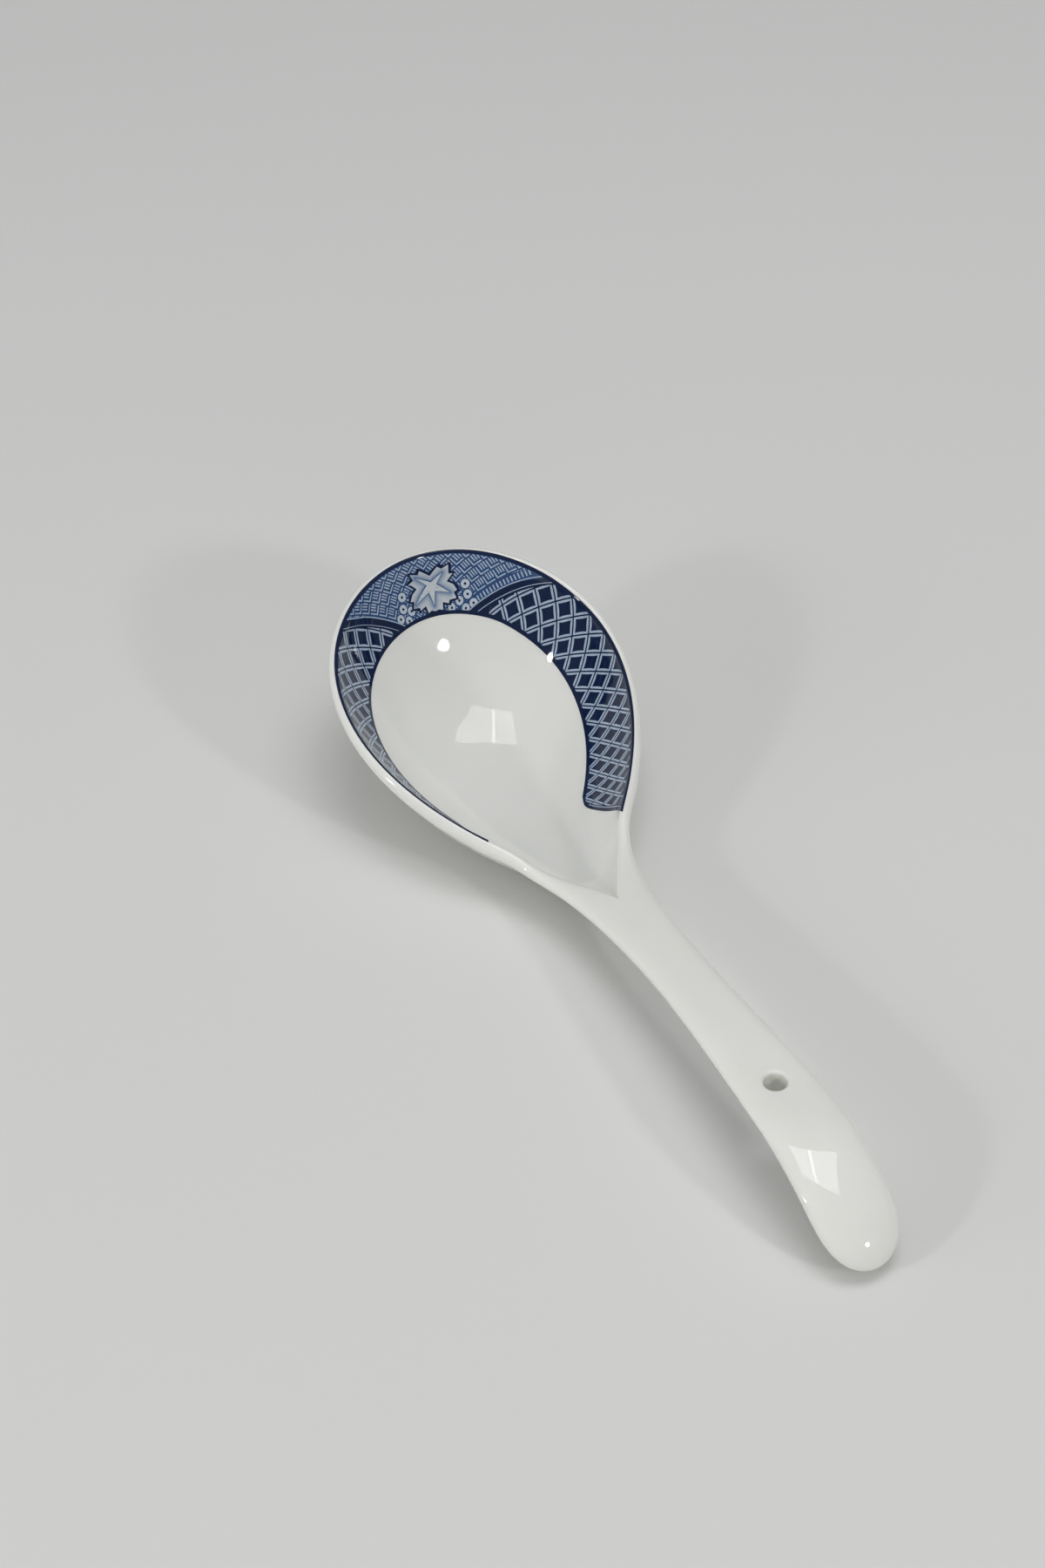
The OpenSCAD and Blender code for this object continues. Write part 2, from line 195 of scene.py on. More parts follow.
class SpoonForm:
    """The spoon's surfaces as formulas, in millimetres, from the sizes in the sidebar."""

    # The rim's egg: two powers, and how much longer it gets for each millimetre that it grows
    egg_power = 1.354
    egg_fall = 0.975
    egg_grow = 2.57
    # The hollow: powers of its throat's sides, of its section in the bowl and throat, and of its keel
    throat_power = 1.1
    section_power = 2.5
    throat_section = 3.1
    far_power = 3.44
    near_powers = (1.6, 1.35)
    near_shares = (0.77, 0.23)
    second_start = 0.62
    second_run = 0.38
    # The handle: powers of its end, drop and dome, and lengths over which its dome, depth and slope change
    end_power = 5.0
    end_top_power = 6.0
    drop_power = 2.2
    flat_power = 4.0
    round_power = 2.15
    round_lead = 12
    dome_from = 2
    dome_to = 3
    end_deepen = 2.2
    deepen_back = 2
    turn_length = 20
    # The underside: powers of its section and of its far rise
    under_bowl = 2.3
    under_throat = 1.9
    under_bar = 2.2
    bar_fullness = 0.75
    under_far = 3.3
    # Rows of the bowl's grids
    point_length = 0.6
    grid_back = 12.0
    close_share = 0.6
    wide_rows = 24
    close_rows = 40
    under_crowd = 1.4
    foot_ring = 0.6
    # Easing of the rim's edges
    ease_rounds = 8
    ease_rows = 3
    ease_strength = 0.5
    ease_back = 6
    # The print's map: the crest that it starts from, its own columns and rows, and the lines that are measured
    crest_length = 85.0
    crest_steps = 4000
    crest_step = 0.05
    faced_x = -20
    map_ends = (-104, 105)
    map_columns = 419
    map_depth = 18.6
    map_rows = 187
    below_last = 1.001
    lip_points = 14
    face_points = 160
    lip_gap = 0.04
    inset = 14.0
    search_depth = 40.0
    search_rounds = 36
    # The finished map, shared by all the pieces of print
    laid = []

    def __init__(self, sizes):
        for name in SpoonSizes.__annotations__:
            setattr(self, name, getattr(sizes, name) / MM)
        self.rim_tilt = sizes.rim_tilt
        self.throat_x = self.hollow_reach - self.throat_length
        self.blend_x = self.throat_x - self.throat_blend
        self.flare_x = self.throat_x - self.flare_lead
        self.neck_x = self.hollow_reach + self.neck_wall
        self.far_in_x = self.rim_width / 2 - self.far_reach
        self.far_out_x = -self.rim_width / 2 - self.far_reach
        self.round_x = self.end_reach - self.end_round
        self.widen_to = self.end_reach - self.widen_back
        self.widen_from = self.widen_to - self.widen_length
        self.egg_top = (0.5 / (0.5 + self.egg_power * self.egg_fall)) ** (1 / self.egg_power)

    def egg_shape(self, s):
        return np.sqrt(s) * (1 - s ** self.egg_power) ** self.egg_fall

    def egg(self, x, grow):
        """Half width of the egg that is larger than the rim's crest by grow all round."""
        share = clip((x + self.far_reach + grow) / (self.egg_length + self.egg_grow * grow))
        return (self.bowl_width / 2 + grow) / self.egg_shape(self.egg_top) * self.egg_shape(share)

    def hollow_w(self, x):
        """Half width of the hollow."""
        point = np.maximum(self.hollow_reach - x, 0) / self.throat_length
        throat = self.throat_width / 2 * point ** self.throat_power
        return mix(self.egg(x, -self.rim_width / 2), throat, ease(self.blend_x, self.throat_x, x))

    def end_share(self, x, power=end_power):
        """How much of the handle is left at its rounded end."""
        return np.sqrt(1 - clip((x - self.round_x) / self.end_round) ** power)

    def outer_w(self, x):
        """Half width of the whole spoon."""
        bar = (
            self.grip_width / 2
            + self.neck_flare * np.exp((self.flare_x - x) / self.neck_fade)
            + (self.end_width - self.grip_width) / 2 * ease(self.widen_from, self.widen_to, x)
        ) * self.end_share(x)
        return mix(self.egg(x, self.rim_width / 2), bar, ease(self.blend_x, self.throat_x, x))

    def arch_z(self, x):
        rise = (np.maximum(self.arch_reach - x, 0) / (self.arch_reach - self.neck_x)) ** 2
        drop = (np.maximum(x - self.arch_reach, 0) / (self.end_reach - self.arch_reach)) ** self.drop_power
        return self.arch_height - self.arch_fall * rise - (self.arch_height - self.end_height) * drop

    def edge_z(self, x):
        """Height of the edge between the top and the underside, along the rim and then the handle."""
        a = self.far_height - self.rim_rise - (x + self.far_reach) * math.tan(self.rim_tilt)
        b = self.arch_z(x)
        return (a + b) / 2 + np.sqrt((a - b) ** 2 / 4 + self.edge_soft ** 2)

    def neck_share(self, x):
        return ease(self.flare_x, self.hollow_reach, x)

    def rise(self, x):
        """How far the top stands over the edge."""
        grows = ease(self.hole_reach + self.dome_from, self.round_x + self.dome_to, x)
        dome = mix(self.crown, self.end_crown, grows)
        return mix(self.rim_rise, dome, ease(self.blend_x, self.hollow_reach, x))

    def bar_rise(self, x, v):
        """Dome of the handle's top: flat with round edges at the neck, round all over at the end."""
        change = ease(self.hole_reach - self.round_lead, self.round_x, x)
        return np.sqrt(1 - clip(v) ** mix(self.flat_power, self.round_power, change))

    def hollow_edge_z(self, x):
        return self.edge_z(x) + self.rise(x) * self.neck_share(x)

    def hollow_z(self, x, y):
        """Height of the hollow's face."""
        far = (np.maximum(-self.hollow_back - x, 0) / (-self.hollow_back - self.far_in_x)) ** self.far_power
        run = np.maximum(x + self.hollow_back, 0) / (self.hollow_reach + self.hollow_back)
        second = clip((run - self.second_start) / self.second_run) ** self.near_powers[1]
        near = self.near_shares[0] * run ** self.near_powers[0] + self.near_shares[1] * second
        keel = (
            self.floor_thickness
            + (self.hollow_edge_z(self.far_in_x) - self.floor_thickness) * far
            + (self.hollow_edge_z(self.hollow_reach) - self.floor_thickness) * near
        )
        w = self.hollow_w(x)
        share = np.where(w > TINY, clip(np.abs(y) / np.maximum(w, TINY)), 1.0)
        power = mix(self.section_power, self.throat_section, ease(0.0, self.throat_x, x))
        return mix(keel, self.hollow_edge_z(x), share ** power)

    def handle_depth(self, x):
        deep = mix(self.neck_depth, self.end_depth, ease(self.neck_x, self.arch_reach, x))
        more = self.end_deepen * ease(self.round_x, self.end_reach - self.deepen_back, x)
        return (deep + more) * self.end_share(x)

    def under_share(self, x, v):
        """Share of the full depth at a share v of the half width."""
        start, end = self.blend_x - self.throat_length, self.neck_x + self.throat_length
        bowl = mix(self.under_bowl, self.under_throat, ease(start, self.throat_x, x))
        power = mix(bowl, self.under_bar, ease(self.throat_x, end, x))
        return (1 - clip(v) ** power) ** mix(1.0, self.bar_fullness, ease(self.throat_x, self.neck_x, x))

    def under_z(self, x, v):
        """Height of the bowl's and neck's underside."""
        share = (np.minimum(x, 0) / self.far_out_x) ** self.under_far
        far = (self.edge_z(self.far_out_x) + self.foot_sink) * share
        near = mix(-self.foot_sink, self.edge_z(x) - self.handle_depth(x), ease(0.0, self.neck_x, x))
        keel = np.where(x < 0, far - self.foot_sink, near)
        return self.edge_z(x) - (self.edge_z(x) - keel) * self.under_share(x, v)

    def bowl_sheets(self):
        """Grids of points for the bowl's inside with its rim, and for its underside."""
        half = SIDE_STEPS + CUT_STEPS
        m = np.r_[np.arange(half + 1), np.arange(half - 1, -1, -1)]
        side = np.r_[np.ones(half + 1), -np.ones(half)]
        along = (1 - np.cos(np.pi * np.minimum(m, SIDE_STEPS) / SIDE_STEPS)) / 2
        cut = np.maximum(m - SIDE_STEPS, 0) / CUT_STEPS
        hx = mix(self.far_in_x, self.hollow_reach - self.point_length, along) + self.point_length * cut
        hy = side * self.hollow_w(hx)
        ox = mix(self.far_out_x, self.neck_x, along)
        oy = side * self.outer_w(ox) * np.sin(np.pi / 2 * (1 - cut))
        rows = []
        for s in shares(self.close_share, self.wide_rows, self.close_rows):
            x, y = mix(-self.grid_back, hx, s), hy * s
            rows.append(np.c_[x, y, self.hollow_z(x, y)])
        inner = len(rows) - 1
        for t in np.linspace(0, 1, LIP_STEPS + 1)[1:]:
            s = (1 - np.cos(np.pi * t)) / 2
            x, y = mix(hx, ox, s), mix(hy, oy, s)
            lip = mix(np.sqrt(1 - (2 * s - 1) ** 2), self.bar_rise(x, s), self.neck_share(x))
            lift = np.where(m > SIDE_STEPS, self.bar_rise(x, np.abs(y) / self.outer_w(x)), lip)
            rows.append(np.c_[x, y, self.edge_z(x) + self.rise(x) * lift])
        outer = len(rows) - 1
        angle = np.arctan2(oy / self.bowl_width, ox / self.egg_length)
        fx, fy = self.foot_length / 2 * np.cos(angle), self.foot_width / 2 * np.sin(angle)
        under = []
        for t in np.linspace(0, 1, UNDER_STEPS + 1):
            s = t ** self.under_crowd
            x, y = mix(ox, fx, s), mix(oy, fy, s)
            z = np.maximum(self.under_z(x, np.abs(y) / np.maximum(self.outer_w(x), TINY)), 0)
            under.append(np.c_[x, y, z * (t < 1)])
        under += [np.c_[fx * s, fy * s, fx * 0] for s in (self.foot_ring, 0.0)]
        # The rim's two edges are eased, away from the neck
        whole = np.array(rows + under[1:])
        hold = (1 - ease(self.flare_x, self.hollow_reach - self.ease_back, ox))[:, None] * (cut == 0)[:, None]
        for _ in range(self.ease_rounds):
            for ring in (inner, outer):
                for k in range(ring - self.ease_rows, ring + self.ease_rows + 1):
                    whole[k] += self.ease_strength * hold * ((whole[k - 1] + whole[k + 1]) / 2 - whole[k])
        top = whole[: outer + 1]
        low = np.concatenate([np.where((cut == 0)[:, None], top[-1], under[0])[None], whole[outer + 1:]])
        return top, low

    def handle_point(self, x, v, out):
        """Points of the handle: v is the share of its half width, out the distance square to its arch."""
        e = self.edge_soft
        turned = ease(self.neck_x, self.neck_x + self.turn_length, x)
        slope = np.arctan2(self.arch_z(x + e) - self.arch_z(x - e), 2 * e) * turned
        return np.stack([x - out * np.sin(slope), v * self.outer_w(x), self.edge_z(x) + out * np.cos(slope)], -1)

    def handle_sheet(self):
        """Grid of points for the handle: rows run along it, columns run round it from its left edge."""
        n = 2 * CUT_STEPS
        straight = mix(self.neck_x, self.round_x, np.linspace(0, 1, HANDLE_STEPS + 1))
        tip = mix(self.round_x, self.end_reach, np.sin(np.pi / 2 * np.linspace(0, 1, TIP_STEPS + 1)[1:]))
        x = np.r_[straight, tip][:, None]
        i = np.arange(2 * n + 1)
        v = np.sin(np.pi / 2 * (2 * np.where(i <= n, i, 2 * n - i) / n - 1))[None]
        top = self.rise(x) * self.end_share(x, self.end_top_power) * self.bar_rise(x, np.abs(v))
        low = -self.handle_depth(x) * self.under_share(x, np.abs(v))
        return self.handle_point(x + 0 * v, v + 0 * x, np.where(i[None] <= n, top, low))

    def top_z(self, x, y):
        return self.edge_z(x) + self.rise(x) * self.bar_rise(x, np.abs(y) / self.outer_w(x))

    def low_z(self, x, y):
        return self.edge_z(x) - self.handle_depth(x) * self.under_share(x, np.abs(y) / self.outer_w(x))

    def print_map(self, body):
        """A function from print places (u along the rim's crest from the far end, v down the face) to points."""
        if self.laid:
            return self.laid[0]
        t = np.linspace(0, 1, self.crest_steps)
        x = -self.far_reach + t ** 2 * self.crest_length
        neck = (self.hollow_w(x) + self.outer_w(x)) / 2
        wide = mix(self.egg(x, 0.0), neck, ease(self.blend_x, self.throat_x, x))
        line = np.c_[x, wide, self.edge_z(x) + self.rise(x)]
        run = run_along(line)
        tilt = self.rim_tilt
        square = np.array([math.sin(tilt), 0, math.cos(tilt)])

        def at(a):
            q = np.stack([np.interp(np.abs(a), run, line[:, k]) for k in range(3)], -1)
            q[..., 1] *= np.where(a < 0, -1, 1)
            return q

        us = np.linspace(*self.map_ends, self.map_columns)
        p = at(us)
        way = at(us + self.crest_step) - at(us - self.crest_step)
        inward = np.cross(way, square)
        inward /= np.linalg.norm(inward, axis=-1, keepdims=True)
        inward *= np.sign(inward[:, :1] * (self.faced_x - p[:, :1]) + inward[:, 1:2] * -p[:, 1:2])
        r = self.rim_width / 2
        steps = np.r_[
            np.linspace(0, r, self.lip_points), np.linspace(r + self.lip_gap, self.inset, self.face_points)
        ]
        lines = []
        for a in steps:
            if a <= r:
                sink = self.rim_rise * math.cos(tilt) * (1 - math.sqrt(max(1 - (a / r) ** 2, 0)))
                lines.append(p + a * inward - sink * square)
                continue
            lo, hi = np.zeros(len(us)), np.full(len(us), self.search_depth)
            for _ in range(self.search_rounds):
                m = (lo + hi) / 2
                q = p + a * inward - m[:, None] * square
                below = q[:, 2] < self.hollow_z(q[:, 0], q[:, 1])
                hi, lo = np.where(below, m, hi), np.where(below, lo, m)
            lines.append(p + a * inward - hi[:, None] * square)
        # Each line down the face is drawn in to the china's own mesh before it is measured
        skin = BVHTree.FromObject(body, bpy.context.evaluated_depsgraph_get())
        lines = np.array([[skin.find_nearest(Vector(q * MM))[0] for q in line] for line in lines]) / MM
        vs = np.linspace(0, self.map_depth, self.map_rows)
        table = np.zeros((len(us), len(vs), 3))
        for k in range(len(us)):
            down = run_along(lines[:, k])
            for c in range(3):
                table[k, :, c] = np.interp(vs, down, lines[:, k, c])

        def place(u, v):
            a = np.clip((u - us[0]) / (us[1] - us[0]), 0, len(us) - self.below_last)
            b = np.clip((v - vs[0]) / (vs[1] - vs[0]), 0, len(vs) - self.below_last)
            i, j = a.astype(int), b.astype(int)
            a, b = (a - i)[:, None], (b - j)[:, None]
            return mix(mix(table[i, j], table[i + 1, j], a), mix(table[i, j + 1], table[i + 1, j + 1], a), b)

        self.laid.append(place)
        return place


# Border of the print, in millimetres: u runs along the rim from its far end, v down from its crest
OUTER_EDGE = through(
    [(-60, 0.1), (0, 0.15), (15, 0.25), (30, 0.6), (40, 0.75), (50, 0.6), (62, 0.45), (100, 0.45)]
)
INNER_EDGE = through(
    [(-90, 17.2), (-70, 16.4), (-45, 15.7), (-30, 15.45), (15, 15.4), (25, 15.55), (32, 16.0), (42, 16.35),
     (60, 16.6), (75, 16.75), (85, 17.1), (91, 17.4)]
)
# The border's right end as u over v, the v where it starts and stops, and how far the left end stays behind it
END_EDGE = through(
    [(0.4, 101.5), (5, 98.9), (9, 97.4), (12.5, 96), (14.6, 95), (15.8, 94.2), (16.6, 93.2), (17.4, 90.6)]
)
END_TOP, END_LOW = 0.4, 17.4
LEFT_END_BACK = 5.0
# Widths of the lines along the rim and along the inner edge
RIM_LINE = 0.9
INNER_LINE = 0.9
# Sides of the fret panel as u over v, and widths of the dark bands outside them and at the border's ends
LEFT_LINE = through([(0, -26.0), (3, -22.8), (5.6, -19.6), (9.75, -15.0), (14, -10.2), (16, -8.0)])
RIGHT_LINE = through(
    [(0, 33.2), (1.4, 31.1), (3, 28.75), (4, 27.35), (5.8, 24.95), (7.2, 23.2), (9.2, 20.8), (11.5, 18.05),
     (13, 16.2), (16, 12.6)]
)
LEFT_BAND, RIGHT_BAND, END_BAND = 3.95, 4.2, 1.6
# Room for the row of ticks inside the panel's right side
TICK_BAND = 3.6
# Gaps that the pale marks leave to the inner line, and the fret and its ticks to the rim line and the left side
LOW_GAP, FRET_TOP_GAP, FRET_SIDE_GAP, TICK_GAP = 0.1, 0.15, 0.2, 0.1
# The trellis keeps this far from the rim line, and gets further from it between two places on the right
TRELLIS_GAP, TRELLIS_MORE, TRELLIS_MORE_FROM, TRELLIS_MORE_TO = 0.05, 0.3, 55, 72
# Fineness of the ground: rows on the rim, the rim's share of the depth, other rows, and columns
RIM_ROWS, RIM_SHARE, GROUND_ROWS, GROUND_COLUMNS = 9, 0.08, 36, 361
# Fineness of the fret panel, and the v from which and to which its sides are read
PANEL_ROWS, PANEL_COLUMNS, PANEL_TOP, PANEL_LOW = 40, 90, 0.8, 14.55


def field_top(u):
    return OUTER_EDGE(u) + RIM_LINE


def field_low(u):
    return INNER_EDGE(u) - INNER_LINE


def trellis_top(u):
    return field_top(u) + TRELLIS_GAP + TRELLIS_MORE * ease(TRELLIS_MORE_FROM, TRELLIS_MORE_TO, u)


def marks_low(u):
    return field_low(u) - LOW_GAP


# Making and shaping pieces


def deselect():
    if bpy.context.object and bpy.context.object.mode != "OBJECT":
        bpy.ops.object.mode_set(mode="OBJECT")
    bpy.ops.object.select_all(action="DESELECT")


def take(piece):
    """Makes this piece the only selected one."""
    deselect()
    piece.select_set(True)
    bpy.context.view_layer.objects.active = piece


def named(name):
    piece = bpy.context.object
    piece.name = name
    piece.data.name = name
    return piece


def points_of(piece):
    co = np.zeros(len(piece.data.vertices) * 3)
    piece.data.vertices.foreach_get("co", co)
    return co.reshape(-1, 3) / MM


def set_points(piece, points):
    piece.data.vertices.foreach_set("co", np.ascontiguousarray(points * MM, dtype=np.float32).ravel())
    piece.data.update()


def flat(u, v):
    """Points of the print before it is laid on the bowl."""
    return np.stack([u, v, 0 * u], -1)


def sheet(name, points):
    """A grid whose corners are moved to the given rows of points."""
    rows, columns = points.shape[:2]
    deselect()
    bpy.ops.mesh.primitive_grid_add(x_subdivisions=columns - 1, y_subdivisions=rows - 1, size=1.0)
    piece = named(name)
    if len(piece.data.vertices) != rows * columns:
        raise RuntimeError("the grid came out with another number of corners")
    set_points(piece, points.reshape(-1, 3))
    return piece


def edit(piece):
    take(piece)
    bpy.ops.object.mode_set(mode="EDIT")
    bpy.ops.mesh.select_mode(type="FACE")
    bpy.ops.mesh.select_all(action="SELECT")


def done():
    bpy.ops.object.mode_set(mode="OBJECT")


def merged(name, pieces):
    """Joins pieces into one object, in their order."""
    take(pieces[0])
    for piece in pieces:
        piece.select_set(True)
    bpy.ops.object.join()
    return named(name)


def closed(name, pieces):
    """Joins pieces into one closed mesh, with doubles merged and faces turned outwards."""
    piece = merged(name, pieces)
    edit(piece)
    bpy.ops.mesh.remove_doubles(threshold=SAME_PLACE * MM)
    bpy.ops.mesh.normals_make_consistent(inside=False)
    done()
    return piece


# The ways along u and v, square to the cuts of flat pieces
CUT_WAYS = ((1, 0, 0), (0, 1, 0))


def trim(piece, curve, along_u, keep_more):
    """Cuts a flat piece along a curve and keeps one side: v = curve(u), or u = curve(v) if along_u is off."""
    a, b = (1, 0) if along_u else (0, 1)

    def shift(sign):
        points = points_of(piece)
        points[:, a] += sign * curve(points[:, b])
        set_points(piece, points)

    shift(-1)
    edit(piece)
    bpy.ops.mesh.bisect(
        plane_co=(0, 0, 0), plane_no=CUT_WAYS[a], clear_inner=keep_more, clear_outer=not keep_more
    )
    done()
    shift(1)


def crop(piece, **sides):
    """Trims a flat piece to what lies below, above, after or before a curve, in the order given."""
    kinds = {"below": (True, True), "above": (True, False), "after": (False, True), "before": (False, False)}
    for side, curve in sides.items():
        trim(piece, curve, *kinds[side])


def refine(piece, pitch):
    """Cuts a flat piece into cells no larger than the pitch, so that it can follow the bowl."""
    points = points_of(piece)
    edit(piece)
    bpy.ops.mesh.quads_convert_to_tris()
    for axis, normal in enumerate(CUT_WAYS):
        low, high = points[:, axis].min(), points[:, axis].max()
        for place in np.arange(low + pitch / 2, high, pitch):
            bpy.ops.mesh.select_all(action="SELECT")
            bpy.ops.mesh.bisect(plane_co=tuple(place * MM * n for n in normal), plane_no=normal)
    done()


def applied(piece, kind, **values):
    take(piece)
    modifier = piece.modifiers.new(kind.title(), kind)
    for key, value in values.items():
        setattr(modifier, key, value)
    bpy.ops.object.modifier_apply(modifier=modifier.name)


def row_of(piece, count):
    """Repeats a piece along the border, one unit further each time."""
    applied(
        piece, "ARRAY", count=count, use_relative_offset=False, use_constant_offset=True,
        constant_offset_displace=(1.0, 1.0, 0.0),
    )


def lay(context, piece, coat):
    """Lays a flat piece of ink on the bowl as a thin closed coat, in its order over the other coats."""
    body = bpy.data.objects.get("china_body")
    if body is None:
        raise RuntimeError("the china body comes first")
    place = SpoonForm(context.scene.spoon_sizes).print_map(body)
    points = points_of(piece)
    set_points(piece, place(points[:, 0], points[:, 1]))
    normals = np.array([f.normal for f in piece.data.polygons])
    middles = np.array([f.center for f in piece.data.polygons]) / MM
    if np.median((normals * (BOWL_OPENING - middles)).sum(1)) < 0:
        edit(piece)
        bpy.ops.mesh.flip_normals()
        done()
    applied(
        piece, "SHRINKWRAP", target=body, wrap_method="NEAREST_SURFACEPOINT", wrap_mode="ABOVE_SURFACE",
        offset=(COAT_BASE + coat * COAT_STEP) * MM,
    )
    applied(piece, "SOLIDIFY", thickness=COAT * MM, offset=1.0)
    take(piece)
    bpy.ops.object.shade_smooth_by_angle(angle=COAT_EDGE)


def finished(piece, material, slot, *nodes):
    """Gives a piece its finish, sets it on the spoon and lets it stand for its solids."""
    piece.data.materials.clear()
    piece.data.materials.append(material)
    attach(piece, "root")
    if nodes:
        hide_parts(*nodes)
    deselect()


# Finishes


def new_node(tree, kind, **values):
    """A new shader node with some of its inputs set; an underscore stands for a space."""
    node = tree.nodes.new("ShaderNode" + kind)
    for key, value in values.items():
        node.inputs[key.replace("_", " ")].default_value = value
    return node


def tone_mix(tree, **tones):
    """A node that mixes two colours."""
    node = tree.nodes.new("ShaderNodeMix")
    node.data_type = "RGBA"
    for key, colour in tones.items():
        node.inputs[key].default_value = (*colour, 1.0)
    return node


def wire(tree, *pairs):
    for source, target in pairs:
        tree.links.new(source, target)


def group_glaze():
    """Slow waves and fine unevenness of a fired glaze: a mottle, a roughness and a normal."""
    group = bpy.data.node_groups.get("Fired glaze")
    if group:
        return group
    group = bpy.data.node_groups.new("Fired glaze", "ShaderNodeTree")
    for name, default in (("Mottle size", 90.0), ("Gloss", 0.03), ("Gloss change", 0.03), ("Ripple", 0.02)):
        socket = group.interface.new_socket(name, in_out="INPUT", socket_type="NodeSocketFloat")
        socket.default_value = default
    for name, kind in (("Mottle", "Float"), ("Roughness", "Float"), ("Normal", "Vector")):
        group.interface.new_socket(name, in_out="OUTPUT", socket_type="NodeSocket" + kind)
    inputs, outputs = group.nodes.new("NodeGroupInput").outputs, group.nodes.new("NodeGroupOutput").inputs
    place = new_node(group, "TexCoord").outputs["Object"]
    mottle = new_node(group, "TexNoise", Detail=5.0, Roughness=0.6)
    ripple = new_node(group, "TexNoise", Scale=160.0, Detail=2.0)
    gloss = new_node(group, "Math")
    gloss.operation = "MULTIPLY_ADD"
    bump = new_node(group, "Bump", Distance=0.00012)
    wire(
        group,
        (place, mottle.inputs["Vector"]),
        (place, ripple.inputs["Vector"]),
        (inputs["Mottle size"], mottle.inputs["Scale"]),
        (mottle.outputs["Fac"], gloss.inputs[0]),
        (inputs["Gloss change"], gloss.inputs[1]),
        (inputs["Gloss"], gloss.inputs[2]),
        (inputs["Ripple"], bump.inputs["Strength"]),
        (ripple.outputs["Fac"], bump.inputs["Height"]),
        (mottle.outputs["Fac"], outputs["Mottle"]),
        (gloss.outputs[0], outputs["Roughness"]),
        (bump.outputs["Normal"], outputs["Normal"]),
    )
    return group


def new_material(name):
    """A new material, with its node tree and the inputs of its shader."""
    material = bpy.data.materials.new(name)
    material.use_nodes = True
    tree = material.node_tree
    return material, tree, tree.nodes["Principled BSDF"].inputs


def glazed(name, colour, change, mottle_size, gloss, ripple):
    """A glazed finish whose colour drifts to a near tone, the colour times the change."""
    material = bpy.data.materials.get(name)
    if material:
        return material
    material, tree, shader = new_material(name)
    shader["IOR"].default_value = 1.5
    glaze = new_node(tree, "Group")
    glaze.node_tree = group_glaze()
    for key, value in (("Mottle size", mottle_size), ("Gloss", gloss), ("Ripple", ripple)):
        glaze.inputs[key].default_value = value
    c = np.array(colour)
    drift = tone_mix(tree, A=c, B=clip(c * change))
    sharpen = new_node(tree, "MapRange", From_Min=0.3, From_Max=0.7)
    wire(
        tree,
        (glaze.outputs["Mottle"], sharpen.inputs["Value"]),
        (sharpen.outputs["Result"], drift.inputs["Factor"]),
        (drift.outputs["Result"], shader["Base Color"]),
        (glaze.outputs["Roughness"], shader["Roughness"]),
        (glaze.outputs["Normal"], shader["Normal"]),
    )
    return material


def china_finish(colours):
    material = glazed("White china", colours.china, (0.975, 0.978, 0.97), 60.0, gloss=0.02, ripple=0.015)
    shader = material.node_tree.nodes["Principled BSDF"]
    shader.inputs["Subsurface Weight"].default_value = 0.3
    shader.inputs["Subsurface Radius"].default_value = (0.0030, 0.0028, 0.0024)
    shader.inputs["Subsurface Scale"].default_value = 1.0
    return material


# Each ink's finish, how its second tone differs from its first, and its slot
INKS = {
    "navy": ("Navy ink", 1.5, "navy_print"),
    "blue": ("Blue ink", 0.7, "blue_print"),
    "pale": ("Pale ink", 0.72, "pale_print"),
    "ring": ("Ring white", 0.9, "pale_print"),
    "petal": ("Petal white", 0.92, "pale_print"),
}


def ink(colours, key):
    name, change, _ = INKS[key]
    fresh = name not in bpy.data.materials
    material = glazed(name, getattr(colours, key), change, 900.0, gloss=0.03, ripple=0.02)
    if fresh and key == "petal":
        shade_petals(material.node_tree, colours)
    return material


def shade_petals(tree, colours):
    """Adds fine blue specks to the white of the petals, and blue shading towards the star."""
    base = tree.nodes["Principled BSDF"].inputs["Base Color"]
    plain = base.links[0].from_socket
    shade = new_node(tree, "Attribute")
    shade.attribute_name = "star_shade"
    specks = new_node(tree, "TexNoise", Scale=2400.0, Detail=1.0)
    dust = new_node(tree, "MapRange", From_Min=0.62, From_Max=0.72, To_Max=0.45)
    most = new_node(tree, "Math")
    most.operation = "MAXIMUM"
    tinted = tone_mix(tree, B=colours.wash)
    wire(
        tree,
        (new_node(tree, "TexCoord").outputs["Object"], specks.inputs["Vector"]),
        (specks.outputs["Fac"], dust.inputs["Value"]),
        (dust.outputs["Result"], most.inputs[0]),
        (shade.outputs["Fac"], most.inputs[1]),
        (most.outputs[0], tinted.inputs["Factor"]),
        (plain, tinted.inputs["A"]),
        (tinted.outputs["Result"], base),
    )


def printed(context, piece, coat, key, *nodes):
    """Lays a piece of print on the bowl in its ink."""
    lay(context, piece, coat)
    finished(piece, ink(context.scene.spoon_colours, key), INKS[key][2], *nodes)


# Pieces


